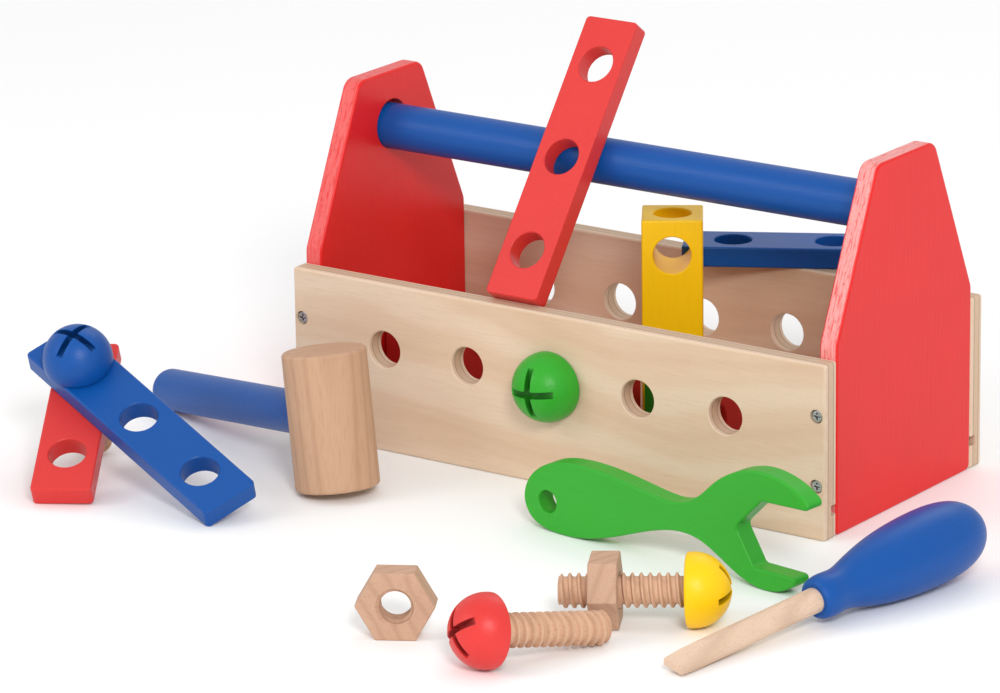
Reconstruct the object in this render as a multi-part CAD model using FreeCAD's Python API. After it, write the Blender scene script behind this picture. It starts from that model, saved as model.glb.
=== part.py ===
import FreeCAD, Part
import math
import os

# Toy carry toolbox of wood with its tools, bolts, nuts and building strips.
# Millimetres. Everything is laid out about the centre of the toolbox's base: X runs along the box,
# Y from the front panel to the rear panel, and Z is up. The finished pieces are then moved so that
# the origin is the middle of the front panel's lower face, where the box stands on the ground.

# --- toolbox -----------------------------------------------------------------------------------
BOX_LENGTH = 270.0
BOX_DEPTH = 124.0
SIDE_HEIGHT = 75.0
SIDE_BOARD = 9.0
END_BOARD = 8.5
END_HEIGHT = 150.0
END_SHOULDER = 81.0
END_TOP_WIDTH = 45.0
EASED_EDGE = 1.2

FLOOR_UNDERSIDE = 10.0
FLOOR_BOARD = 4.0
GROOVE_DEPTH = 4.0
FLOOR_CLEARANCE = 0.2

HOLE_RADIUS = 8.15
HOLE_PITCH = 43.4
HOLE_HEIGHT = 45.6
PANEL_HOLES = 5
HOLE_EASE = 0.4

SCREW_HEIGHTS = (52.8, 23.0)
SCREW_SHANK_RADIUS = 1.5
SCREW_SHANK_LENGTH = 22.0
SCREW_HEAD_RADIUS = 2.9
SCREW_HEAD_THICKNESS = 2.0
SCREW_RECESS_DEPTH = 2.8
SCREW_CLEARANCE = 0.15

HANDLE_RADIUS = 10.0
HANDLE_HEIGHT = 125.4
HANDLE_BORE_RADIUS = 11.0
HANDLE_BORE_DEPTH = 5.0
HANDLE_REST_GAP = 0.05
HANDLE_END_GAP = 0.3

# --- strips and blocks -------------------------------------------------------------------------
STRIP_WIDTH = 26.0
STRIP_THICKNESS = 9.0
STRIP_END = 21.3
STRIP_EASE = 0.9
BLOCK_LENGTH = 89.0
BLOCK_HOLE_FROM_END = 15.4
REST_GAP = 0.05
TOUCH_GAP = 0.3

# --- bolts and nuts ----------------------------------------------------------------------------
BOLT_HEAD_RADIUS = 15.0
BOLT_HEAD_CUT = 2.8
BOLT_SLOT_WIDTH = 3.0
BOLT_SLOT_DEPTH = 4.6
BOLT_LENGTH = 50.0
TENON_RADIUS = 5.2
TENON_LENGTH = 10.0
TENON_CLEARANCE = 0.05
THREAD_PITCH = 3.5
THREAD_CREST = 6.9
THREAD_ROOT = 5.5
NUT_ACROSS_FLATS = 27.5
NUT_THICKNESS = 11.5
NUT_MINOR = 6.15
NUT_MAJOR = 7.4

# --- hammer, wrench and screwdriver ------------------------------------------------------------
HAMMER_HEAD_RADIUS = 17.9
HAMMER_HEAD_LENGTH = 58.8
HAMMER_HANDLE_RADIUS = 9.25
HAMMER_REACH = 144.0
HAMMER_SOCKET = 26.0
WRENCH_THICKNESS = 9.5
WRENCH_HOLE_RADIUS = 4.8
BLADE_RADIUS = 5.1
BLADE_LENGTH = 78.0
BLADE_TENON = 30.0
BLADE_TIP_THICKNESS = 2.6
BLADE_TAPER = 17.0
DRIVER_LENGTH = 172.0
DRIVER_WIDEST = 139.5
DRIVER_RADIUS = 15.8

BOX_END = BOX_LENGTH / 2
BOX_FACE = BOX_DEPTH / 2
INNER_FACE = BOX_FACE - SIDE_BOARD
INNER_END = BOX_END - END_BOARD
FLOOR_TOP = FLOOR_UNDERSIDE + FLOOR_BOARD
HEAD_HEIGHT = BOLT_HEAD_RADIUS + BOLT_HEAD_CUT


def vec(x, y, z):
    return FreeCAD.Vector(x, y, z)


X_AXIS = vec(1, 0, 0)
Y_AXIS = vec(0, 1, 0)
Z_AXIS = vec(0, 0, 1)


def turn(axis, degrees):
    return FreeCAD.Rotation(axis, degrees)


def placed(shape, position, rotation):
    """A copy of shape, turned about the origin and then moved to position."""
    moved = shape.copy()
    moved.Placement = FreeCAD.Placement(position, rotation).multiply(shape.Placement)
    return moved


def centred_box(size_x, size_y, size_z, z_low=0.0):
    return Part.makeBox(size_x, size_y, size_z, vec(-size_x / 2, -size_y / 2, z_low))


def edges_along(shape, axis):
    """The straight edges of a shape that run along one axis."""
    chosen = []
    for edge in shape.Edges:
        direction = edge.Vertexes[-1].Point - edge.Vertexes[0].Point
        if direction.Length > 1e-6 and abs(direction.normalize().dot(axis)) > 0.999:
            chosen.append(edge)
    return chosen


def eased_hole(position, axis, length, radius=HOLE_RADIUS, ease=HOLE_EASE):
    """A cutter for a hole that starts at position, with a small chamfer at both mouths."""
    hole = Part.makeCylinder(radius, length, position, axis)
    mouth = Part.makeCone(radius + ease, radius, ease, position, axis)
    far = position + axis * length
    back = Part.makeCone(radius + ease, radius, ease, far, axis * -1)
    return hole.fuse([mouth, back])


def side_panel():
    """The front panel: a plywood board with five holes, four screw recesses and the floor groove."""
    outer = -BOX_FACE
    board = Part.makeBox(BOX_LENGTH, SIDE_BOARD, SIDE_HEIGHT, vec(-BOX_END, outer, 0))
    board = board.makeFillet(EASED_EDGE, board.Edges)
    cutters = []
    for index in range(PANEL_HOLES):
        x = (index - (PANEL_HOLES - 1) / 2) * HOLE_PITCH
        cutters.append(eased_hole(vec(x, outer, HOLE_HEIGHT), Y_AXIS, SIDE_BOARD))
    for side in (-1, 1):
        x = side * (BOX_END - END_BOARD / 2)
        for z in SCREW_HEIGHTS:
            recess_radius = SCREW_HEAD_RADIUS + SCREW_CLEARANCE
            cutters.append(Part.makeCylinder(recess_radius, SCREW_RECESS_DEPTH, vec(x, outer, z), Y_AXIS))
            bore_radius = SCREW_SHANK_RADIUS + SCREW_CLEARANCE
            cutters.append(Part.makeCylinder(bore_radius, SIDE_BOARD, vec(x, outer, z), Y_AXIS))
    groove_height = FLOOR_BOARD + FLOOR_CLEARANCE
    groove_corner = vec(-BOX_END, -INNER_FACE - GROOVE_DEPTH, FLOOR_UNDERSIDE)
    cutters.append(Part.makeBox(BOX_LENGTH, GROOVE_DEPTH + 1, groove_height, groove_corner))
    return board.cut(cutters)


def end_panel():
    """The right end panel: a house-shaped board with the blind bore for the handle."""
    top = END_TOP_WIDTH / 2
    outline = [(-INNER_FACE, 0), (INNER_FACE, 0), (INNER_FACE, END_SHOULDER), (top, END_HEIGHT),
               (-top, END_HEIGHT), (-INNER_FACE, END_SHOULDER)]
    corner_radii = [3.0, 3.0, 7.0, 7.0, 7.0, 7.0]
    points = [vec(INNER_END, y, z) for y, z in outline]
    face = Part.Face(Part.makePolygon(points + points[:1]))
    board = face.extrude(vec(END_BOARD, 0, 0))
    for (y, z), radius in zip(outline, corner_radii):
        corner = [e for e in edges_along(board, X_AXIS)
                  if abs(e.Vertexes[0].Point.y - y) < 0.01 and abs(e.Vertexes[0].Point.z - z) < 0.01]
        board = board.makeFillet(radius, corner)
    rims = [e for e in board.Edges if abs(e.BoundBox.XLength) < 1e-6]
    board = board.makeFillet(EASED_EDGE, rims)
    bore_height = HANDLE_HEIGHT + HANDLE_BORE_RADIUS - HANDLE_RADIUS - HANDLE_REST_GAP
    bore = Part.makeCylinder(HANDLE_BORE_RADIUS, HANDLE_BORE_DEPTH, vec(INNER_END, 0, bore_height), X_AXIS)
    cutters = [bore]
    for side in (-1, 1):
        for z in SCREW_HEIGHTS:
            length = SCREW_SHANK_LENGTH
            start = vec(BOX_END - END_BOARD / 2, side * BOX_FACE, z)
            radius = SCREW_SHANK_RADIUS + SCREW_CLEARANCE
            cutters.append(Part.makeCylinder(radius, length + 4, start, Y_AXIS * -side))
    return board.cut(cutters)


def wood_screw():
    """A small screw with a cross recess. Its head's top is at z = 0 and it points down."""
    head = Part.makeCylinder(SCREW_HEAD_RADIUS, SCREW_HEAD_THICKNESS, vec(0, 0, -SCREW_HEAD_THICKNESS))
    rim = [e for e in head.Edges if e.BoundBox.ZMin > -0.01]
    head = head.makeFillet(0.8, rim)
    shank_end = -SCREW_SHANK_LENGTH
    cone = 3.0
    shank = Part.makeCylinder(SCREW_SHANK_RADIUS, SCREW_SHANK_LENGTH - cone, vec(0, 0, shank_end + cone))
    tip = Part.makeCone(0.3, SCREW_SHANK_RADIUS, cone, vec(0, 0, shank_end))
    recess_length = 3.2
    recess_width = 0.8
    recess_depth = 1.3
    cross = [centred_box(recess_length, recess_width, recess_depth, -recess_depth),
             centred_box(recess_width, recess_length, recess_depth, -recess_depth)]
    return head.fuse([shank, tip]).cut(cross)


def screws(face_y, inward):
    """The four screws of one side panel, as separate solids."""
    solids = []
    for side in (-1, 1):
        for z in SCREW_HEIGHTS:
            x = side * (BOX_END - END_BOARD / 2)
            head_top = face_y + inward * (SCREW_RECESS_DEPTH - SCREW_HEAD_THICKNESS)
            rotation = turn(X_AXIS, 90 * inward)
            solids.append(placed(wood_screw(), vec(x, head_top, z), rotation))
    return Part.makeCompound(solids)


def dowel(radius, length, ease):
    """A round bar from z = 0 to z = length, with rounded ends."""
    bar = Part.makeCylinder(radius, length)
    rims = [e for e in bar.Edges if abs(e.BoundBox.ZLength) < 1e-6]
    return bar.makeFillet(ease, rims)


def strip(holes):
    """A flat strip that lies on z = 0, with its first hole at the origin and its length along X."""
    length = (holes - 1) * HOLE_PITCH + 2 * STRIP_END
    bar = Part.makeBox(length, STRIP_WIDTH, STRIP_THICKNESS, vec(-STRIP_END, -STRIP_WIDTH / 2, 0))
    bar = bar.makeFillet(2.0, edges_along(bar, Z_AXIS))
    rims = [e for e in bar.Edges if abs(e.BoundBox.ZLength) < 1e-6]
    bar = bar.makeFillet(STRIP_EASE, rims)
    cutters = [eased_hole(vec(i * HOLE_PITCH, 0, 0), Z_AXIS, STRIP_THICKNESS) for i in range(holes)]
    return bar.cut(cutters)


def cross_block(length, hole_heights, end_hole_depth):
    """A square block that stands on z = 0, with cross holes along Y and a hole in its top end."""
    block = centred_box(STRIP_WIDTH, STRIP_WIDTH, length)
    block = block.makeFillet(STRIP_EASE, block.Edges)
    cutters = []
    for z in hole_heights:
        cutters.append(eased_hole(vec(0, -STRIP_WIDTH / 2, z), Y_AXIS, STRIP_WIDTH))
    if end_hole_depth:
        cutters.append(eased_hole(vec(0, 0, length), Z_AXIS * -1, end_hole_depth))
    return block.cut(cutters)


def bolt_head():
    """A domed bolt head that sits on z = 0, with a crossed slot in its top."""
    centre = vec(0, 0, BOLT_HEAD_CUT)
    dome = Part.makeSphere(BOLT_HEAD_RADIUS, centre, Z_AXIS)
    keep = centred_box(4 * BOLT_HEAD_RADIUS, 4 * BOLT_HEAD_RADIUS, 4 * BOLT_HEAD_RADIUS)
    dome = dome.common(keep)
    rim = [e for e in dome.Edges if abs(e.BoundBox.ZMax) < 1e-3 and abs(e.BoundBox.ZLength) < 1e-3]
    dome = dome.makeFillet(1.2, rim)
    slot_floor = HEAD_HEIGHT - BOLT_SLOT_DEPTH
    span = 2 * BOLT_HEAD_RADIUS
    socket = Part.makeCylinder(TENON_RADIUS + TENON_CLEARANCE, TENON_LENGTH + TENON_CLEARANCE)
    return dome.cut([centred_box(span, BOLT_SLOT_WIDTH, span, slot_floor),
                     centred_box(BOLT_SLOT_WIDTH, span, span, slot_floor), socket])


def thread_ridge(root, crest, base_width, tip_width, length, start):
    """A helical ridge about Z from z = start, with a trapezoid section between two radii."""
    helix = Part.makeHelix(THREAD_PITCH, length, root)
    helix.translate(vec(0, 0, start))
    base = base_width / 2
    tip = tip_width / 2
    corners = [vec(root, 0, start - base), vec(crest, 0, start - tip),
               vec(crest, 0, start + tip), vec(root, 0, start + base)]
    profile = Part.makePolygon(corners + corners[:1])
    return Part.Wire(helix.Edges).makePipeShell([profile], True, True)


def bolt_shank():
    """The threaded shank below z = 0, with the plain tenon that is glued into the head."""
    core = Part.makeCylinder(THREAD_ROOT, BOLT_LENGTH, vec(0, 0, -BOLT_LENGTH))
    tenon = Part.makeCylinder(TENON_RADIUS, TENON_LENGTH)
    bury = 0.3
    turns = math.ceil(BOLT_LENGTH / THREAD_PITCH) + 1
    ridge = thread_ridge(THREAD_ROOT - bury, THREAD_CREST, 2.5, 0.7, (turns + 1) * THREAD_PITCH,
                         -turns * THREAD_PITCH)
    reach = 0.2
    envelope = Part.makeCylinder(THREAD_CREST + 1, BOLT_LENGTH - reach, vec(0, 0, -BOLT_LENGTH))
    point_chamfer = 1.4
    point = Part.makeCone(THREAD_CREST - point_chamfer, THREAD_CREST + 1, point_chamfer + 1,
                          vec(0, 0, -BOLT_LENGTH))
    body = Part.makeCylinder(THREAD_CREST + 1, BOLT_LENGTH, vec(0, 0, -BOLT_LENGTH + point_chamfer + 1))
    ridge = ridge.common(envelope).common(point.fuse(body))
    return core.fuse([ridge, tenon]).removeSplitter()


def hex_nut():
    """A hexagonal nut from z = 0 to its thickness, with an internal thread. A flat faces -Y."""
    corner_radius = NUT_ACROSS_FLATS / 2 / math.cos(math.radians(30))
    corners = [vec(corner_radius * math.cos(math.radians(60 * i)),
                   corner_radius * math.sin(math.radians(60 * i)), 0) for i in range(6)]
    prism = Part.Face(Part.makePolygon(corners + corners[:1])).extrude(vec(0, 0, NUT_THICKNESS))
    prism = prism.makeFillet(0.7, prism.Edges)
    bury = 0.3
    groove = thread_ridge(NUT_MINOR - bury, NUT_MAJOR, 3.1, 2.1, NUT_THICKNESS + 2 * THREAD_PITCH,
                          -THREAD_PITCH)
    mouth_radius = NUT_MAJOR + 0.2
    mouth_depth = mouth_radius - NUT_MINOR
    threaded = prism.cut(Part.makeCylinder(NUT_MINOR, NUT_THICKNESS)).cut(groove)
    for z, up in ((0, 1), (NUT_THICKNESS, -1)):
        mouth = Part.makeCone(mouth_radius, NUT_MINOR, mouth_depth, vec(0, 0, z), Z_AXIS * up)
        threaded = threaded.cut(mouth)
    return threaded


def hammer_head():
    """The hammer's head stands on z = 0 about the Z axis, with the handle's socket along -X."""
    head = dowel(HAMMER_HEAD_RADIUS, HAMMER_HEAD_LENGTH, 1.6)
    inner_end = HAMMER_SOCKET - HAMMER_HEAD_RADIUS
    socket = Part.makeCylinder(HAMMER_HANDLE_RADIUS + TENON_CLEARANCE, HAMMER_REACH,
                               vec(inner_end, 0, HAMMER_HEAD_LENGTH / 2), X_AXIS * -1)
    return head.cut(socket)


def hammer_handle():
    inner_end = HAMMER_SOCKET - HAMMER_HEAD_RADIUS - TENON_CLEARANCE
    bar = Part.makeCylinder(HAMMER_HANDLE_RADIUS, HAMMER_REACH + inner_end)
    far_rim = [e for e in bar.Edges if e.BoundBox.ZMin > HAMMER_REACH / 2]
    bar = bar.makeFillet(4.5, far_rim)
    return placed(bar, vec(inner_end, 0, HAMMER_HEAD_LENGTH / 2), turn(Y_AXIS, -90))


def spline(points):
    curve = Part.BSplineCurve()
    curve.interpolate([vec(x, 0, z) for x, z in points])
    return curve.toShape()


def line(start, end):
    return Part.makeLine(vec(start[0], 0, start[1]), vec(end[0], 0, end[1]))


def wrench():
    """The wrench stands on its lower edge at z = 0, with its front face at y = 0 and its jaw at +X."""
    upper_tip = (136.4, 37.6)
    lower_tip = (130.8, 8.4)
    back = [upper_tip, (131.5, 42.4), (120.5, 47.6), (107.5, 49.0), (96.5, 46.2), (86.0, 40.0),
            (77.0, 32.0), (68.0, 27.6), (53.0, 27.8), (34.0, 30.8), (13.0, 32.0), (-4.0, 28.6),
            (-14.0, 20.0), (-16.0, 11.5), (-12.0, 4.2), (-3.0, 0.6), (8.0, 0.0), (20.0, 1.6),
            (34.0, 5.6), (48.0, 10.6), (60.0, 14.0), (70.0, 15.0), (78.0, 13.6), (87.0, 9.4),
            (96.0, 4.4), (105.0, 0.9), (113.0, 0.0), (121.5, 2.0), lower_tip]
    jaw_low = (106.0, 8.6)
    jaw_deep = (96.8, 23.6)
    jaw_high = (110.0, 36.8)
    edges = [spline(back), line(lower_tip, jaw_low), line(jaw_low, jaw_deep),
             line(jaw_deep, jaw_high), line(jaw_high, upper_tip)]
    face = Part.Face(Part.Wire(edges))
    board = face.extrude(vec(0, WRENCH_THICKNESS, 0))
    upright = {jaw_low: 2.5, jaw_deep: 3.0, jaw_high: 2.5, upper_tip: 2.0, lower_tip: 2.0}
    for (x, z), radius in upright.items():
        corner = [e for e in edges_along(board, Y_AXIS)
                  if abs(e.Vertexes[0].Point.x - x) < 0.01 and abs(e.Vertexes[0].Point.z - z) < 0.01]
        board = board.makeFillet(radius, corner)
    rims = [e for e in board.Edges if abs(e.BoundBox.YLength) < 1e-4]
    board = board.makeFillet(1.0, rims)
    hole = eased_hole(vec(-3.2, 0, 12.8), Y_AXIS, WRENCH_THICKNESS, WRENCH_HOLE_RADIUS)
    return board.cut(hole)


def driver_blade():
    """The screwdriver's blade along +X from its tip at the origin, tapered to a flat tip."""
    bar = Part.makeCylinder(BLADE_RADIUS, BLADE_LENGTH + BLADE_TENON, vec(0, 0, 0), X_AXIS)
    cutters = []
    for side in (-1, 1):
        tip_z = side * BLADE_TIP_THICKNESS / 2
        outside = side * 2 * BLADE_RADIUS
        corners = [vec(-1, 0, tip_z), vec(BLADE_TAPER, 0, side * BLADE_RADIUS),
                   vec(BLADE_TAPER, 0, outside), vec(-1, 0, outside)]
        wedge = Part.Face(Part.makePolygon(corners + corners[:1])).extrude(vec(0, 4 * BLADE_RADIUS, 0))
        wedge.translate(vec(0, -2 * BLADE_RADIUS, 0))
        cutters.append(wedge)
    return bar.cut(cutters)


def driver_handle():
    """The screwdriver's turned handle, round about X, with the socket for the blade."""
    lip = 1.2
    curve = Part.BSplineCurve()
    profile = [(BLADE_LENGTH + lip, 8.1), (BLADE_LENGTH + 6, 8.9), (BLADE_LENGTH + 13, 8.6),
               (BLADE_LENGTH + 22, 10.4), (BLADE_LENGTH + 38, 13.9), (DRIVER_WIDEST, DRIVER_RADIUS),
               (155.0, 14.9), (165.3, 11.3), (170.7, 5.6), (DRIVER_LENGTH, 0.0)]
    curve.interpolate([vec(x, 0, r) for x, r in profile])
    front = Part.makeLine(vec(BLADE_LENGTH, 0, 0), vec(BLADE_LENGTH, 0, 8.1 - lip))
    bead = Part.makeLine(vec(BLADE_LENGTH, 0, 8.1 - lip), vec(BLADE_LENGTH + lip, 0, 8.1))
    axis = Part.makeLine(vec(DRIVER_LENGTH, 0, 0), vec(BLADE_LENGTH, 0, 0))
    face = Part.Face(Part.Wire([front, bead, curve.toShape(), axis]))
    solid = face.revolve(vec(0, 0, 0), X_AXIS, 360)
    socket = Part.makeCylinder(BLADE_RADIUS + TENON_CLEARANCE, BLADE_TENON + TENON_CLEARANCE,
                               vec(BLADE_LENGTH, 0, 0), X_AXIS)
    return solid.cut(socket)


def nut_on_bolt(bolt_base, bolt_turn, pitches, flat_turn):
    """A nut run onto a bolt: its lower face is that many thread pitches below the bolt's head,
    and flat_turn degrees of a further turn, which also move it along the thread, set its flats."""
    along = -pitches * THREAD_PITCH + THREAD_PITCH * flat_turn / 360
    base = bolt_base + bolt_turn.multVec(vec(0, 0, along))
    return placed(hex_nut(), base, bolt_turn.multiply(turn(Z_AXIS, flat_turn)))


parts = {}

# --- the toolbox -------------------------------------------------------------------------------
front_panel = side_panel()
right_panel = end_panel()
half_turn = turn(Z_AXIS, 180)
parts["front_side_panel"] = front_panel
parts["rear_side_panel"] = placed(front_panel, vec(0, 0, 0), half_turn)
parts["right_end_panel"] = right_panel
parts["left_end_panel"] = placed(right_panel, vec(0, 0, 0), half_turn)
floor_width = 2 * (INNER_FACE + GROOVE_DEPTH - FLOOR_CLEARANCE)
floor_length = 2 * (INNER_END - FLOOR_CLEARANCE)
parts["floor_panel"] = centred_box(floor_length, floor_width, FLOOR_BOARD, FLOOR_UNDERSIDE)
parts["front_screws"] = screws(-BOX_FACE, 1)
parts["rear_screws"] = screws(BOX_FACE, -1)
handle_length = 2 * (INNER_END + HANDLE_BORE_DEPTH - HANDLE_END_GAP)
parts["handle_dowel"] = placed(dowel(HANDLE_RADIUS, handle_length, 1.0),
                               vec(-handle_length / 2, 0, HANDLE_HEIGHT), turn(Y_AXIS, 90))

# --- the green bolt in the front panel's middle hole, with its nut inside ----------------------
into_box = turn(X_AXIS, 90)
green_sag = HOLE_RADIUS - THREAD_CREST - REST_GAP
green_origin = vec(0, -BOX_FACE, HOLE_HEIGHT - green_sag)
parts["green_bolt_head"] = placed(bolt_head(), green_origin, turn(Y_AXIS, -4).multiply(into_box))
parts["green_bolt_shank"] = placed(bolt_shank(), green_origin, into_box)
parts["green_bolt_nut"] = nut_on_bolt(green_origin, into_box, 10, 0)

# --- strips and blocks in and on the box -------------------------------------------------------
lean = 36.8
lean_x = -22.8
lean_turn = turn(X_AXIS, -lean)
lean_up = lean_turn.multVec(Z_AXIS)
lean_back = lean_turn.multVec(Y_AXIS)
back_offset = vec(0, 0, HANDLE_HEIGHT).dot(lean_back) - HANDLE_RADIUS - TOUCH_GAP
eased_corner = EASED_EDGE * (math.sqrt(2) - 1)
foot_offset = vec(0, -INNER_FACE, SIDE_HEIGHT).dot(lean_up) - eased_corner + REST_GAP
foot = vec(lean_x, 0, 0) + lean_back * back_offset + lean_up * (foot_offset + STRIP_END)
stand_up = FreeCAD.Rotation(Z_AXIS, X_AXIS, Y_AXIS * -1, "ZXY")
parts["leaning_red_strip"] = placed(strip(3), foot, lean_turn.multiply(stand_up))

block_holes = (BLOCK_HOLE_FROM_END, BLOCK_LENGTH - BLOCK_HOLE_FROM_END)
parts["yellow_block"] = placed(cross_block(BLOCK_LENGTH, block_holes, BLOCK_HOLE_FROM_END),
                               vec(10.4, 14.2, FLOOR_TOP), turn(Z_AXIS, 33.0))
rear_turn = turn(Z_AXIS, 28.9)
rear_centre = vec(37.0, 60.2, SIDE_HEIGHT)
rear_first_hole = rear_centre - rear_turn.multVec(vec(HOLE_PITCH / 2, 0, 0))
parts["rear_blue_strip"] = placed(strip(2), rear_first_hole, rear_turn)


def strip_on_edge(holes, centre, yaw):
    """A strip that stands on its long edge on the toolbox's floor, with its centre given."""
    length = (holes - 1) * HOLE_PITCH
    upright = placed(strip(holes), vec(-length / 2, STRIP_THICKNESS / 2, 0), turn(X_AXIS, 90))
    return placed(upright, vec(centre[0], centre[1], FLOOR_TOP + STRIP_WIDTH / 2), turn(Z_AXIS, yaw))


parts["inner_red_long_strip"] = strip_on_edge(3, (-61.2, -4.5), 0)
parts["inner_red_short_strip"] = strip_on_edge(2, (52.2, -1.0), 90)
cube = cross_block(STRIP_WIDTH, (STRIP_WIDTH / 2,), 0)
parts["green_cube"] = placed(cube, vec(34.0, -11.0, FLOOR_TOP), turn(Z_AXIS, 0))

# --- the blue and red strips that a blue bolt joins --------------------------------------------
joined_tilt = 28.66
joined_turn = turn(Z_AXIS, 25.04).multiply(turn(X_AXIS, joined_tilt)).multiply(turn(Z_AXIS, -42.57))
joined_normal = joined_turn.multVec(Z_AXIS)
red_swing = -44.0
joined_origin = vec(-183.0, -148.0, 38.95)
parts["joined_blue_strip"] = placed(strip(3), joined_origin, joined_turn)
red_turn = joined_turn.multiply(turn(Z_AXIS, red_swing))
parts["joined_red_strip"] = placed(strip(2), joined_origin - joined_normal * STRIP_THICKNESS, red_turn)
bolt_base = joined_origin + joined_normal * STRIP_THICKNESS
slot_turn = joined_turn.multiply(turn(Z_AXIS, 17))
parts["blue_bolt_head"] = placed(bolt_head(), bolt_base, slot_turn)
parts["blue_bolt_shank"] = placed(bolt_shank(), bolt_base, joined_turn)
parts["blue_bolt_nut"] = nut_on_bolt(bolt_base, joined_turn, 9, 150)

# --- the tools on the ground -------------------------------------------------------------------
hammer_yaw = -22.3
hammer_foot = vec(-69.6, -119.0, -0.21)
hammer_tilt = 9.25
pivot = vec(-HAMMER_HEAD_RADIUS, 0, 0)
for node, shape in (("hammer_head", hammer_head()), ("hammer_handle", hammer_handle())):
    shape.rotate(pivot, Y_AXIS, -hammer_tilt)
    parts[node] = placed(shape, hammer_foot, turn(Z_AXIS, hammer_yaw))

parts["wrench"] = placed(wrench(), vec(35.7, -112.6, 0.06), turn(Z_AXIS, -6.7))

driver_yaw = 78.6
driver_tip = vec(170.3, -226.1, 3.6)
driver_tilt = 5.3
for node, shape in (("screwdriver_handle", driver_handle()), ("screwdriver_blade", driver_blade())):
    rotation = turn(Z_AXIS, driver_yaw).multiply(turn(Y_AXIS, -driver_tilt)).multiply(turn(X_AXIS, 12))
    parts[node] = placed(shape, driver_tip, rotation)

for colour, head_base, yaw, far_radius, spin in (("red", (107.3, -255.6), 64.5, THREAD_CREST - 0.3, 40),
                                                 ("yellow", (143.9, -176.8), 208.8, 13.35, 10)):
    reach = BOLT_LENGTH + BOLT_HEAD_CUT
    tilt = math.degrees(math.asin((BOLT_HEAD_RADIUS - far_radius) / reach))
    height = BOLT_HEAD_RADIUS - BOLT_HEAD_CUT * math.sin(math.radians(tilt))
    lie_down = turn(Z_AXIS, yaw).multiply(turn(Y_AXIS, tilt - 90))
    base = vec(head_base[0], head_base[1], height)
    parts[colour + "_bolt_head"] = placed(bolt_head(), base, lie_down.multiply(turn(Z_AXIS, spin)))
    parts[colour + "_bolt_shank"] = placed(bolt_shank(), base, lie_down)
    if colour == "yellow":
        parts["yellow_bolt_nut"] = nut_on_bolt(base, lie_down, 11, 90)

nut_facing = 30.0
nut_rotation = turn(Z_AXIS, nut_facing).multiply(turn(X_AXIS, 90))
parts["loose_nut"] = placed(hex_nut(), vec(53.0, -243.0, NUT_ACROSS_FLATS / 2), nut_rotation)

os.makedirs("parts", exist_ok=True)
to_front_panel = vec(0, BOX_FACE - SIDE_BOARD / 2, 0)
for node, shape in parts.items():
    shape = placed(shape, to_front_panel, turn(Z_AXIS, 0))
    shape.exportStep("parts/" + node + ".step")
    solids = len(shape.Solids)
    box = shape.BoundBox
    print(node, "solids", solids, "valid", shape.isValid(), "volume", round(shape.Volume),
          "z", round(box.ZMin, 2), round(box.ZMax, 2))
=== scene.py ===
import math

import bmesh
import bpy
import numpy as np
from mathutils import Matrix, Vector


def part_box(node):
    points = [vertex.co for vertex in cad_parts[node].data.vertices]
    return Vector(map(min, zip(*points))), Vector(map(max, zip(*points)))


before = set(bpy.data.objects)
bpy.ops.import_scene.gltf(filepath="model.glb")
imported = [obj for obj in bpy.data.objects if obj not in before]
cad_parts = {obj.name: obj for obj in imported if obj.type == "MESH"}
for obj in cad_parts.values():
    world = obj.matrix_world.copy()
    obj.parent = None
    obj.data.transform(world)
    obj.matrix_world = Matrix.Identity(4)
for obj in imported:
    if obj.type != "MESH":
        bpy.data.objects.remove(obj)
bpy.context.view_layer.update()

bl_info = {
    "name": "Wooden toy toolbox",
    "version": (1, 0, 0),
    "blender": (4, 5, 0),
    "location": "View3D > Sidebar > Toy Toolbox",
    "description": "Paints and timbers for a wooden toy toolbox, its tools, bolts and building strips",
    "category": "Object",
}

SIDE_PANELS = ("front_side_panel", "rear_side_panel")
RED_STRIPS = ("leaning_red_strip", "joined_red_strip", "inner_red_long_strip", "inner_red_short_strip")
BLUE_STRIPS = ("joined_blue_strip", "rear_blue_strip")
BOLTS = ("green_bolt", "blue_bolt", "yellow_bolt", "red_bolt")
NUTS = ("green_bolt_nut", "blue_bolt_nut", "yellow_bolt_nut", "loose_nut")

BARE_PINK = (0.93, 0.60, 0.57)  # thin red paint over pale wood
WOOD_GLOSS = 0.28               # mirror shine of paint and wood, where 0.5 is plain plastic
PLYWOOD_FLOW = 210.0            # radians of veneer figure per metre across the board
PLYWOOD_WARP = 24.0             # radians by which the figure wanders
HAMMER_TONE = (0.84, 0.82, 0.78)
NUT_TONE = (0.86, 0.86, 0.88)
BLADE_TONE = (1.10, 1.28, 1.42)
FLOOR_HALF = 6.0
SENSOR_WIDTH = 36.0
# name, place, width in metres, power in watts
LIGHTS = (("key_light", (1.35, -1.45, 1.25), 0.55, 24.0),
          ("fill_light", (-1.1, -1.5, 1.2), 0.9, 7.0),
          ("back_light", (-0.3, 1.5, 1.7), 1.2, 5.0))
LIGHT_AIM = (0.0, 0.0, 0.05)


def colour_property(name, description, default):
    return bpy.props.FloatVectorProperty(name=name, description=description, subtype="COLOR", size=3,
                                         default=default, min=0.0, max=1.0)


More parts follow.
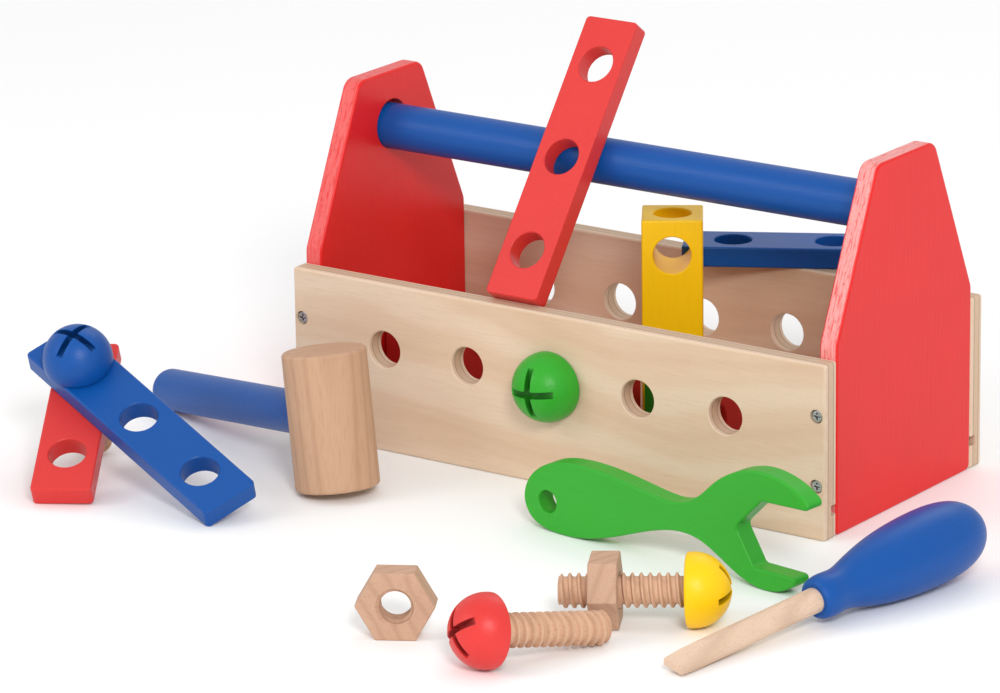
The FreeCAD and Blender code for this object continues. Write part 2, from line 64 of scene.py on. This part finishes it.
class ToolboxPaints(bpy.types.PropertyGroup):
    """The paints of the set and how thickly they lie on the wood."""
    red: colour_property("Red", "Paint of the red strips and the red bolt", (0.680, 0.040, 0.036))
    end_red: colour_property("End panel red", "Deeper red of the end panels", (0.740, 0.016, 0.015))
    blue: colour_property("Blue", "Paint of the handles and the blue strips", (0.0015, 0.075, 0.330))
    green: colour_property("Green", "Paint of the wrench and the green bolt", (0.030, 0.370, 0.022))
    yellow: colour_property("Yellow", "Paint of the yellow block and bolt", (0.950, 0.570, 0.0012))
    gloss: bpy.props.FloatProperty(name="Roughness", description="Roughness of the dried paint",
                                   default=0.36, min=0.05, max=1.0, subtype="FACTOR")
    grain_depth: bpy.props.FloatProperty(name="Grain under paint",
                                         description="Height of the wood grain that shows through the paint",
                                         default=0.00012, min=0.0, max=0.001, unit="LENGTH")


class ToolboxTimbers(bpy.types.PropertyGroup):
    """The bare woods of the set."""
    plywood: colour_property("Plywood", "Pale face veneer of the side panels", (0.690, 0.510, 0.360))
    plywood_dark: colour_property("Plywood grain", "Darker flowing grain of the veneer",
                                  (0.540, 0.320, 0.200))
    core: colour_property("Plywood core", "Middle ply that shows at the board's edges",
                          (0.600, 0.440, 0.300))
    beech: colour_property("Beech", "Turned and cut beech of the hammer, bolts and nuts",
                           (0.640, 0.400, 0.265))
    beech_dark: colour_property("Beech grain", "Darker grain of the beech", (0.440, 0.240, 0.145))
    roughness: bpy.props.FloatProperty(name="Roughness", description="Roughness of the bare wood",
                                       default=0.52, min=0.05, max=1.0, subtype="FACTOR")


class ToolboxStage(bpy.types.PropertyGroup):
    """Where the camera stands and how bright the studio is."""
    azimuth: bpy.props.FloatProperty(name="Azimuth", description="Camera's turn from the front to the right",
                                     default=math.radians(35.62), subtype="ANGLE")
    elevation: bpy.props.FloatProperty(name="Elevation", description="Camera's height angle",
                                       default=math.radians(16.78), subtype="ANGLE")
    roll: bpy.props.FloatProperty(name="Roll", description="Camera's turn about its own view line",
                                  default=math.radians(-0.83), subtype="ANGLE")
    distance: bpy.props.FloatProperty(name="Distance", description="Camera to aim point",
                                      default=2.35, min=0.5, max=10.0, unit="LENGTH")
    lens: bpy.props.FloatProperty(name="Lens", description="Focal length in millimetres",
                                  default=200.3, min=10.0, max=400.0)
    aim: bpy.props.FloatVectorProperty(name="Aim point", description="Point in the middle of the view",
                                       default=(-0.0330, 0.0052, 0.0534), subtype="XYZ", unit="LENGTH")
    background: colour_property("Background", "Colour of the studio", (0.96, 0.96, 0.96))


# --- materials -----------------------------------------------------------------------------------

class Nodes:
    """A short way to add and join the nodes of one material."""

    def __init__(self, name):
        self.material = bpy.data.materials.new(name)
        self.material.use_nodes = True
        self.tree = self.material.node_tree
        self.shader = self.tree.nodes["Principled BSDF"]

    def add(self, kind, inputs=None, **settings):
        node = self.tree.nodes.new(kind)
        for key, value in settings.items():
            setattr(node, key, value)
        for key, value in (inputs or {}).items():
            if isinstance(value, bpy.types.NodeSocket):
                self.tree.links.new(value, node.inputs[key])
            else:
                node.inputs[key].default_value = value
        return node

    def object_point(self, scale, turn=(0.0, 0.0, 0.0)):
        """The piece's own coordinates, turned and then stretched."""
        source = self.add("ShaderNodeTexCoord").outputs["Object"]
        turned = self.add("ShaderNodeMapping", {"Vector": source, "Rotation": turn})
        return self.add("ShaderNodeMapping", {"Vector": turned.outputs[0], "Scale": scale}).outputs[0]

    def noise(self, point, scale, detail=3.0, roughness=0.55, distortion=0.0):
        inputs = {"Vector": point, "Scale": scale, "Detail": detail, "Roughness": roughness,
                  "Distortion": distortion}
        return self.add("ShaderNodeTexNoise", inputs).outputs["Fac"]

    def ramp(self, factor, stops):
        node = self.add("ShaderNodeValToRGB", {"Fac": factor})
        elements = node.color_ramp.elements
        while len(elements) < len(stops):
            elements.new(0.5)
        for element, (position, colour) in zip(elements, stops):
            element.position = position
            element.color = (*colour, 1.0)
        return node.outputs["Color"]

    def mask(self, factor, *stops):
        """A grey ramp: how strongly something shows at each value."""
        return self.ramp(factor, [(position, (grey,) * 3) for position, grey in stops])

    def mix(self, factor, first, second):
        node = self.add("ShaderNodeMix", data_type="RGBA")
        for index, value in ((0, factor), (6, first), (7, second)):
            if isinstance(value, bpy.types.NodeSocket):
                self.tree.links.new(value, node.inputs[index])
            else:
                node.inputs[index].default_value = value if index == 0 else (*value, 1.0)
        return node.outputs[2]

    def math(self, operation, first, second=0.0, clamp=False):
        node = self.add("ShaderNodeMath", operation=operation, use_clamp=clamp)
        for index, value in enumerate((first, second)):
            if isinstance(value, bpy.types.NodeSocket):
                self.tree.links.new(value, node.inputs[index])
            else:
                node.inputs[index].default_value = value
        return node.outputs[0]

    def finish(self, colour, roughness, bump_height, bump_distance):
        self.tree.links.new(colour, self.shader.inputs["Base Color"])
        if isinstance(roughness, bpy.types.NodeSocket):
            self.tree.links.new(roughness, self.shader.inputs["Roughness"])
        else:
            self.shader.inputs["Roughness"].default_value = roughness
        self.shader.inputs["Specular IOR Level"].default_value = WOOD_GLOSS
        bump = self.add("ShaderNodeBump", {"Height": bump_height, "Distance": bump_distance, "Strength": 1.0})
        self.tree.links.new(bump.outputs[0], self.shader.inputs["Normal"])
        return self.material


def grain_scale(axis, across=1.0, along=0.06):
    """Coordinates stretched so that grain runs along one axis (0, 1 or 2)."""
    scale = [across, across, across]
    scale[axis] = along
    return tuple(scale)


def darker(colour, factor):
    return tuple(channel * factor for channel in colour)


def toned(colour, factors):
    return tuple(channel * factor for channel, factor in zip(colour, factors))


def blended(first, second, share):
    """Two colours mixed: share is the second one's part."""
    return tuple((1 - share) * a + share * b for a, b in zip(first, second))


def painted_wood(name, colour, grain_axis=0, ball=None):
    """Satin paint on wood: grain shows faintly in its surface, and its colour is a little uneven.
    A bolt's head gives its ball, a centre and a radius: where the head sinks below that ball, in its slots,
    shade is painted in as a darker colour."""
    paints = bpy.context.scene.toolbox_paints
    nodes = Nodes(name)
    point = nodes.object_point(grain_scale(grain_axis))
    grain = nodes.noise(point, 900.0, 4.0, 0.6)
    pores = nodes.noise(point, 2600.0, 2.0, 0.5)
    cloud = nodes.noise(nodes.object_point((1, 1, 1)), 28.0, 2.0)
    base = nodes.ramp(cloud, [(0.3, darker(colour, 0.93)), (0.7, colour)])
    lines = nodes.ramp(grain, [(0.30, darker(colour, 0.86)), (0.50, colour), (1.0, colour)])
    shade = nodes.mix(0.30, base, lines)
    if ball is not None:
        centre, radius = ball
        source = nodes.add("ShaderNodeTexCoord").outputs["Object"]
        distance = nodes.add("ShaderNodeVectorMath", {0: source, 1: centre}, operation="DISTANCE")
        cut = nodes.add("ShaderNodeMapRange", {"Value": distance.outputs["Value"],
                                               "From Min": radius - 0.0002,
                                               "From Max": radius - 0.0009}).outputs[0]
        # painted shade: slot floors below the head's ball are darkened towards 30 % of the paint colour to
        # stand for shade in the recesses
        shade = nodes.mix(nodes.math("MULTIPLY", cut, 0.75), shade, darker(colour, 0.30))
    height = nodes.math("ADD", grain, nodes.math("MULTIPLY", pores, 0.35))
    dull = nodes.add("ShaderNodeMapRange", {"Value": cloud, "To Min": paints.gloss - 0.05,
                                            "To Max": paints.gloss + 0.07}).outputs[0]
    return nodes.finish(shade, dull, height, paints.grain_depth)


def end_panel_paint(name, thinness):
    """Red paint on plywood boards: on the sawn edges the paint is thin, paler and striped."""
    paints = bpy.context.scene.toolbox_paints
    colour = tuple(paints.end_red)
    nodes = Nodes(name)
    point = nodes.object_point(grain_scale(2, along=0.05))
    grain = nodes.noise(point, 800.0, 4.0, 0.6)
    cloud = nodes.noise(nodes.object_point((1, 1, 1)), 22.0, 2.0)
    base = nodes.ramp(cloud, [(0.3, darker(colour, 0.93)), (0.7, colour)])
    normal = nodes.add("ShaderNodeNewGeometry").outputs["True Normal"]
    facing = nodes.add("ShaderNodeSeparateXYZ", {"Vector": normal}).outputs["X"]
    flat_face = nodes.math("ABSOLUTE", facing)
    edge = nodes.math("SUBTRACT", 1.0, flat_face, clamp=True)
    sharp_edge = nodes.add("ShaderNodeMapRange", {"Value": edge, "From Min": 0.55,
                                                  "From Max": 0.85}).outputs[0]
    fibres = nodes.noise(nodes.object_point((1.0, 0.07, 0.07)), 1500.0, 4.0, 0.75)
    pale = blended(colour, BARE_PINK, thinness)
    pits = nodes.noise(nodes.object_point((1.0, 0.3, 0.3)), 1100.0, 3.0, 0.7)
    streaks = nodes.ramp(fibres, [(0.34, colour), (0.50, pale)])
    pit_mask = nodes.mask(pits, (0.56, 0.0), (0.68, 0.6))
    edge_colour = nodes.mix(pit_mask, streaks, darker(colour, 0.62))
    strength = nodes.math("MULTIPLY", sharp_edge, 0.85)
    shade = nodes.mix(strength, base, edge_colour)
    rough_edge = nodes.math("MULTIPLY", fibres, nodes.math("MULTIPLY", sharp_edge, 1.6))
    height = nodes.math("ADD", grain, rough_edge)
    return nodes.finish(shade, paints.gloss, height, paints.grain_depth)


def plywood(name, thickness_axis, centre, thickness):
    """Three-ply board: broad flowing veneer on its faces, three plies at its edges and in its holes."""
    timbers = bpy.context.scene.toolbox_timbers
    light = tuple(timbers.plywood)
    dark = tuple(timbers.plywood_dark)
    core = tuple(timbers.core)
    nodes = Nodes(name)
    position = nodes.add("ShaderNodeSeparateXYZ",
                         {"Vector": nodes.add("ShaderNodeTexCoord").outputs["Object"]})
    warp = nodes.noise(nodes.object_point((0.22, 1.0, 1.0)), 15.0, 2.0, 0.45, 0.6)
    across = position.outputs[1 if thickness_axis == 2 else 2]
    phase = nodes.math("ADD", nodes.math("MULTIPLY", across, PLYWOOD_FLOW),
                       nodes.math("MULTIPLY", warp, PLYWOOD_WARP))
    rings = nodes.add("ShaderNodeMapRange", {"Value": nodes.math("SINE", phase), "From Min": -1.0}).outputs[0]
    cloud = nodes.noise(nodes.object_point((0.35, 1.0, 1.0)), 20.0, 2.0)
    fine = nodes.noise(nodes.object_point((0.05, 1.0, 1.0)), 1100.0, 3.0, 0.65)
    flecks = nodes.noise(nodes.object_point((0.12, 1.0, 1.0)), 1900.0, 2.0, 0.5)
    tan = blended(light, dark, 0.20)
    broad = nodes.ramp(cloud, [(0.38, tan), (0.62, light)])
    pale = toned(light, (1.06, 1.13, 1.20))
    veins = nodes.mask(rings, (0.0, 0.75), (0.16, 0.55), (0.42, 0.0), (1.0, 0.0))
    veneer = nodes.mix(veins, broad, pale)
    shadow = nodes.mask(rings, (0.86, 0.0), (1.0, 0.16))
    veneer = nodes.mix(shadow, veneer, dark)
    veneer = nodes.mix(nodes.mask(fine, (0.45, 0.0), (0.75, 0.22)), veneer, dark)
    tick = nodes.mask(flecks, (0.64, 0.0), (0.74, 0.20))
    veneer = nodes.mix(tick, veneer, darker(dark, 0.85))
    depth = nodes.math("SUBTRACT", position.outputs[thickness_axis], centre)
    share = nodes.math("DIVIDE", nodes.math("ABSOLUTE", depth), thickness / 2)
    outer = blended(pale, dark, 0.15)
    glue = darker(core, 0.55)
    plies = nodes.ramp(share, [(0.0, core), (0.36, core), (0.41, glue), (0.46, glue), (0.52, outer),
                               (1.0, outer)])
    end_fibres = nodes.noise(nodes.object_point((1.0, 0.25, 0.25)), 1800.0, 3.0, 0.7)
    plies = nodes.mix(nodes.mask(end_fibres, (0.45, 0.0), (0.75, 0.35)), plies, dark)
    normal = nodes.add("ShaderNodeNewGeometry").outputs["True Normal"]
    facing = nodes.add("ShaderNodeSeparateXYZ", {"Vector": normal}).outputs[thickness_axis]
    face = nodes.add("ShaderNodeMapRange", {"Value": nodes.math("ABSOLUTE", facing), "From Min": 0.70,
                                            "From Max": 0.92}).outputs[0]
    shade = nodes.mix(face, plies, veneer)
    height = nodes.math("ADD", fine, nodes.math("MULTIPLY", end_fibres, 0.6))
    return nodes.finish(shade, timbers.roughness, height, 0.00008)


def beech(name, along, turn=(0.0, 0.0, 0.0), heart=(0.0, 0.0, 0.0), ring_width=0.005,
          tone=(1.0, 1.0, 1.0)):
    """Plain beech: growth rings round a slightly slanted heart, and fine dark pores along the grain."""
    timbers = bpy.context.scene.toolbox_timbers
    light = toned(timbers.beech, tone)
    dark = toned(timbers.beech_dark, tone)
    nodes = Nodes(name)
    source = nodes.add("ShaderNodeTexCoord").outputs["Object"]
    moved = nodes.add("ShaderNodeMapping", {"Vector": source, "Location": heart, "Rotation": turn})
    axes = nodes.add("ShaderNodeSeparateXYZ", {"Vector": moved.outputs[0]})
    first = axes.outputs[(along + 1) % 3]
    second = axes.outputs[(along + 2) % 3]
    spread = nodes.math("SQRT", nodes.math("ADD", nodes.math("MULTIPLY", first, first),
                                           nodes.math("MULTIPLY", second, second)))
    wobble = nodes.noise(nodes.object_point(grain_scale(along, along=0.25), turn), 34.0, 2.0, 0.5)
    phase = nodes.math("ADD", nodes.math("MULTIPLY", spread, math.tau / ring_width),
                       nodes.math("MULTIPLY", wobble, 9.0))
    rings = nodes.add("ShaderNodeMapRange", {"Value": nodes.math("SINE", phase), "From Min": -1.0}).outputs[0]
    cloud = nodes.noise(nodes.object_point(grain_scale(along, along=0.3), turn), 60.0, 2.0)
    pores = nodes.noise(nodes.object_point(grain_scale(along, along=0.045), turn), 1700.0, 3.0, 0.65)
    middle = blended(light, dark, 0.34)
    bands = nodes.ramp(rings, [(0.0, light), (0.50, light), (0.90, middle), (1.0, darker(middle, 0.90))])
    patches = nodes.ramp(cloud, [(0.35, middle), (0.65, light)])
    shade = nodes.mix(0.40, bands, patches)
    shade = nodes.mix(nodes.mask(pores, (0.52, 0.0), (0.70, 0.45)), shade, dark)
    return nodes.finish(shade, timbers.roughness + 0.04, pores, 0.00010)


def screw_steel():
    nodes = Nodes("screw_steel")
    scratches = nodes.noise(nodes.object_point((1, 1, 1)), 900.0, 4.0, 0.7)
    colour = nodes.ramp(scratches, [(0.3, (0.33, 0.33, 0.34)), (0.7, (0.62, 0.61, 0.60))])
    nodes.shader.inputs["Metallic"].default_value = 1.0
    return nodes.finish(colour, 0.34, scratches, 0.00003)


def fitted_ball(name):
    """Centre and radius of the ball that a slotted head is turned from."""
    points = np.array([tuple(vertex.co) for vertex in bpy.data.objects[name].data.vertices])
    kept = points
    for tolerance in (0.002, 0.0006, 0.0002):
        rows = np.hstack([2.0 * kept, np.ones((len(kept), 1))])
        answer = np.linalg.lstsq(rows, (kept ** 2).sum(axis=1), rcond=None)[0]
        centre = answer[:3]
        radius = math.sqrt(answer[3] + centre @ centre)
        misses = np.abs(np.linalg.norm(points - centre, axis=1) - radius)
        kept = points[misses < tolerance]
    return tuple(float(value) for value in centre), radius


def assign(material, *node_names):
    """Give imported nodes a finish. Their shape and place stay as they are."""
    for name in node_names:
        piece = bpy.data.objects[name]
        if not piece.material_slots:
            raise RuntimeError(name + " has no material slot")
        for slot in piece.material_slots:
            slot.material = material


# --- operators -----------------------------------------------------------------------------------

class TOOLBOX_OT_boards(bpy.types.Operator):
    """Finish the toolbox's plywood sides, its floor, its painted ends and its screws"""
    bl_idname = "toolbox.boards"
    bl_label = "Toolbox boards"

    def execute(self, context):
        for name in SIDE_PANELS:
            low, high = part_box(name)
            centre = (low[1] + high[1]) / 2
            assign(plywood(name + "_plywood", 1, centre, high[1] - low[1]), name)
        low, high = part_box("floor_panel")
        assign(plywood("floor_plywood", 2, (low[2] + high[2]) / 2, high[2] - low[2]), "floor_panel")
        assign(end_panel_paint("left_end_panel_paint", 0.22), "left_end_panel")
        assign(end_panel_paint("right_end_panel_paint", 0.62), "right_end_panel")
        assign(screw_steel(), "front_screws", "rear_screws")
        return {"FINISHED"}


class TOOLBOX_OT_handle(bpy.types.Operator):
    """Paint the carrying handle"""
    bl_idname = "toolbox.handle"
    bl_label = "Handle"

    def execute(self, context):
        paints = context.scene.toolbox_paints
        assign(painted_wood("blue_handle_paint", tuple(paints.blue), 0), "handle_dowel")
        return {"FINISHED"}


class TOOLBOX_OT_strips(bpy.types.Operator):
    """Paint the perforated strips, the block and the cube"""
    bl_idname = "toolbox.strips"
    bl_label = "Strips and blocks"

    def execute(self, context):
        paints = context.scene.toolbox_paints
        assign(painted_wood("red_strip_paint", tuple(paints.red), 2), *RED_STRIPS)
        assign(painted_wood("blue_strip_paint", tuple(paints.blue), 0), *BLUE_STRIPS)
        assign(painted_wood("yellow_block_paint", tuple(paints.yellow), 2), "yellow_block")
        assign(painted_wood("green_cube_paint", tuple(paints.green), 2), "green_cube")
        return {"FINISHED"}


class TOOLBOX_OT_bolts(bpy.types.Operator):
    """Paint the bolts' heads and finish their beech shanks and the nuts"""
    bl_idname = "toolbox.bolts"
    bl_label = "Bolts and nuts"

    def execute(self, context):
        paints = context.scene.toolbox_paints
        for bolt in BOLTS:
            colour = bolt.split("_")[0]
            # the head's fitted ball marks its slots, where painted shade darkens the paint
            paint = painted_wood(colour + "_head_paint", tuple(getattr(paints, colour)), 1,
                                 fitted_ball(bolt + "_head"))
            assign(paint, bolt + "_head")
        shank_wood = beech("shank_beech", 0)
        assign(shank_wood, *(bolt + "_shank" for bolt in BOLTS))
        assign(beech("nut_beech", 1, turn=(0.0, 0.5, 0.3), tone=NUT_TONE), *NUTS)
        return {"FINISHED"}


class TOOLBOX_OT_hammer(bpy.types.Operator):
    """Finish the hammer's beech head and its painted handle"""
    bl_idname = "toolbox.hammer"
    bl_label = "Hammer"

    def execute(self, context):
        paints = context.scene.toolbox_paints
        assign(beech("hammer_beech", 2, turn=(math.radians(7.0), math.radians(9.0), 0.0),
                     heart=(0.040, 0.100, 0.0), ring_width=0.0060, tone=HAMMER_TONE), "hammer_head")
        assign(painted_wood("blue_hammer_paint", tuple(paints.blue), 0), "hammer_handle")
        return {"FINISHED"}


class TOOLBOX_OT_wrench(bpy.types.Operator):
    """Paint the wrench"""
    bl_idname = "toolbox.wrench"
    bl_label = "Wrench"

    def execute(self, context):
        paints = context.scene.toolbox_paints
        assign(painted_wood("green_wrench_paint", tuple(paints.green), 0), "wrench")
        return {"FINISHED"}


class TOOLBOX_OT_screwdriver(bpy.types.Operator):
    """Paint the screwdriver's handle and finish its wooden blade"""
    bl_idname = "toolbox.screwdriver"
    bl_label = "Screwdriver"

    def execute(self, context):
        paints = context.scene.toolbox_paints
        assign(painted_wood("blue_driver_paint", tuple(paints.blue), 1), "screwdriver_handle")
        assign(beech("blade_beech", 1, ring_width=0.012, tone=BLADE_TONE), "screwdriver_blade")
        return {"FINISHED"}


def area_light(name, place, width, power):
    lamp = bpy.data.lights.new(name, "AREA")
    lamp.shape = "DISK"
    lamp.size = width
    lamp.energy = power
    piece = bpy.data.objects.new(name, lamp)
    piece.location = place
    piece.rotation_euler = (Vector(LIGHT_AIM) - Vector(place)).to_track_quat("-Z", "Y").to_euler()
    bpy.context.scene.collection.objects.link(piece)


class TOOLBOX_OT_stage(bpy.types.Operator):
    """Lay the pale floor, hang the soft lights and set up the camera"""
    bl_idname = "toolbox.stage"
    bl_label = "Floor, lights and camera"

    def execute(self, context):
        stage = context.scene.toolbox_stage
        self.floor(stage)
        self.lights(stage)
        self.camera(stage)
        return {"FINISHED"}

    def floor(self, stage):
        mesh = bpy.data.meshes.new("floor")
        shape = bmesh.new()
        corners = [shape.verts.new((x * FLOOR_HALF, y * FLOOR_HALF, 0.0))
                   for x, y in ((-1, -1), (1, -1), (1, 1), (-1, 1))]
        shape.faces.new(corners)
        shape.to_mesh(mesh)
        shape.free()
        floor = bpy.data.objects.new("floor", mesh)
        bpy.context.scene.collection.objects.link(floor)
        paper = bpy.data.materials.new("studio_paper")
        paper.use_nodes = True
        shader = paper.node_tree.nodes["Principled BSDF"]
        shader.inputs["Base Color"].default_value = (*stage.background, 1.0)
        shader.inputs["Roughness"].default_value = 0.9
        mesh.materials.append(paper)

    def lights(self, stage):
        world = bpy.data.worlds.new("studio")
        world.use_nodes = True
        sky = world.node_tree.nodes["Background"]
        sky.inputs["Color"].default_value = (*stage.background, 1.0)
        sky.inputs["Strength"].default_value = 0.80
        bpy.context.scene.world = world
        for name, place, width, power in LIGHTS:
            area_light(name, place, width, power)

    def camera(self, stage):
        back = Vector((math.sin(stage.azimuth) * math.cos(stage.elevation),
                       -math.cos(stage.azimuth) * math.cos(stage.elevation), math.sin(stage.elevation)))
        right = (-back).cross(Vector((0.0, 0.0, 1.0))).normalized()
        up = right.cross(-back)
        roll_cos = math.cos(stage.roll)
        roll_sin = math.sin(stage.roll)
        rolled_right = right * roll_cos + up * roll_sin
        rolled_up = up * roll_cos - right * roll_sin
        data = bpy.data.cameras.new("camera")
        data.lens = stage.lens
        data.sensor_width = SENSOR_WIDTH
        data.clip_end = 50.0
        camera = bpy.data.objects.new("camera", data)
        camera.matrix_world = Matrix.Translation(Vector(stage.aim) + back * stage.distance) @ Matrix(
            (rolled_right, rolled_up, back)).transposed().to_4x4()
        bpy.context.scene.collection.objects.link(camera)
        bpy.context.scene.camera = camera
        bpy.context.scene.view_settings.view_transform = "Standard"


PIECES = (TOOLBOX_OT_boards, TOOLBOX_OT_handle, TOOLBOX_OT_strips, TOOLBOX_OT_bolts, TOOLBOX_OT_hammer,
          TOOLBOX_OT_wrench, TOOLBOX_OT_screwdriver, TOOLBOX_OT_stage)


class TOOLBOX_PT_panel(bpy.types.Panel):
    """The toolbox's finishes and the buttons that make them"""
    bl_label = "Toy Toolbox"
    bl_idname = "TOOLBOX_PT_panel"
    bl_space_type = "VIEW_3D"
    bl_region_type = "UI"
    bl_category = "Toy Toolbox"

    def draw(self, context):
        layout = self.layout
        scene = context.scene
        for group in (scene.toolbox_paints, scene.toolbox_timbers, scene.toolbox_stage):
            box = layout.box()
            for name in type(group).__annotations__:
                box.prop(group, name)
        for operator in PIECES:
            layout.operator(operator.bl_idname)


CLASSES = (ToolboxPaints, ToolboxTimbers, ToolboxStage, *PIECES, TOOLBOX_PT_panel)


def register():
    for item in CLASSES:
        bpy.utils.register_class(item)
    bpy.types.Scene.toolbox_paints = bpy.props.PointerProperty(type=ToolboxPaints)
    bpy.types.Scene.toolbox_timbers = bpy.props.PointerProperty(type=ToolboxTimbers)
    bpy.types.Scene.toolbox_stage = bpy.props.PointerProperty(type=ToolboxStage)


def unregister():
    del bpy.types.Scene.toolbox_stage
    del bpy.types.Scene.toolbox_timbers
    del bpy.types.Scene.toolbox_paints
    for item in reversed(CLASSES):
        bpy.utils.unregister_class(item)


def main():
    register()
    for operator in PIECES:
        family, name = operator.bl_idname.split(".")
        getattr(getattr(bpy.ops, family), name)()


if __name__ == "__main__":
    main()
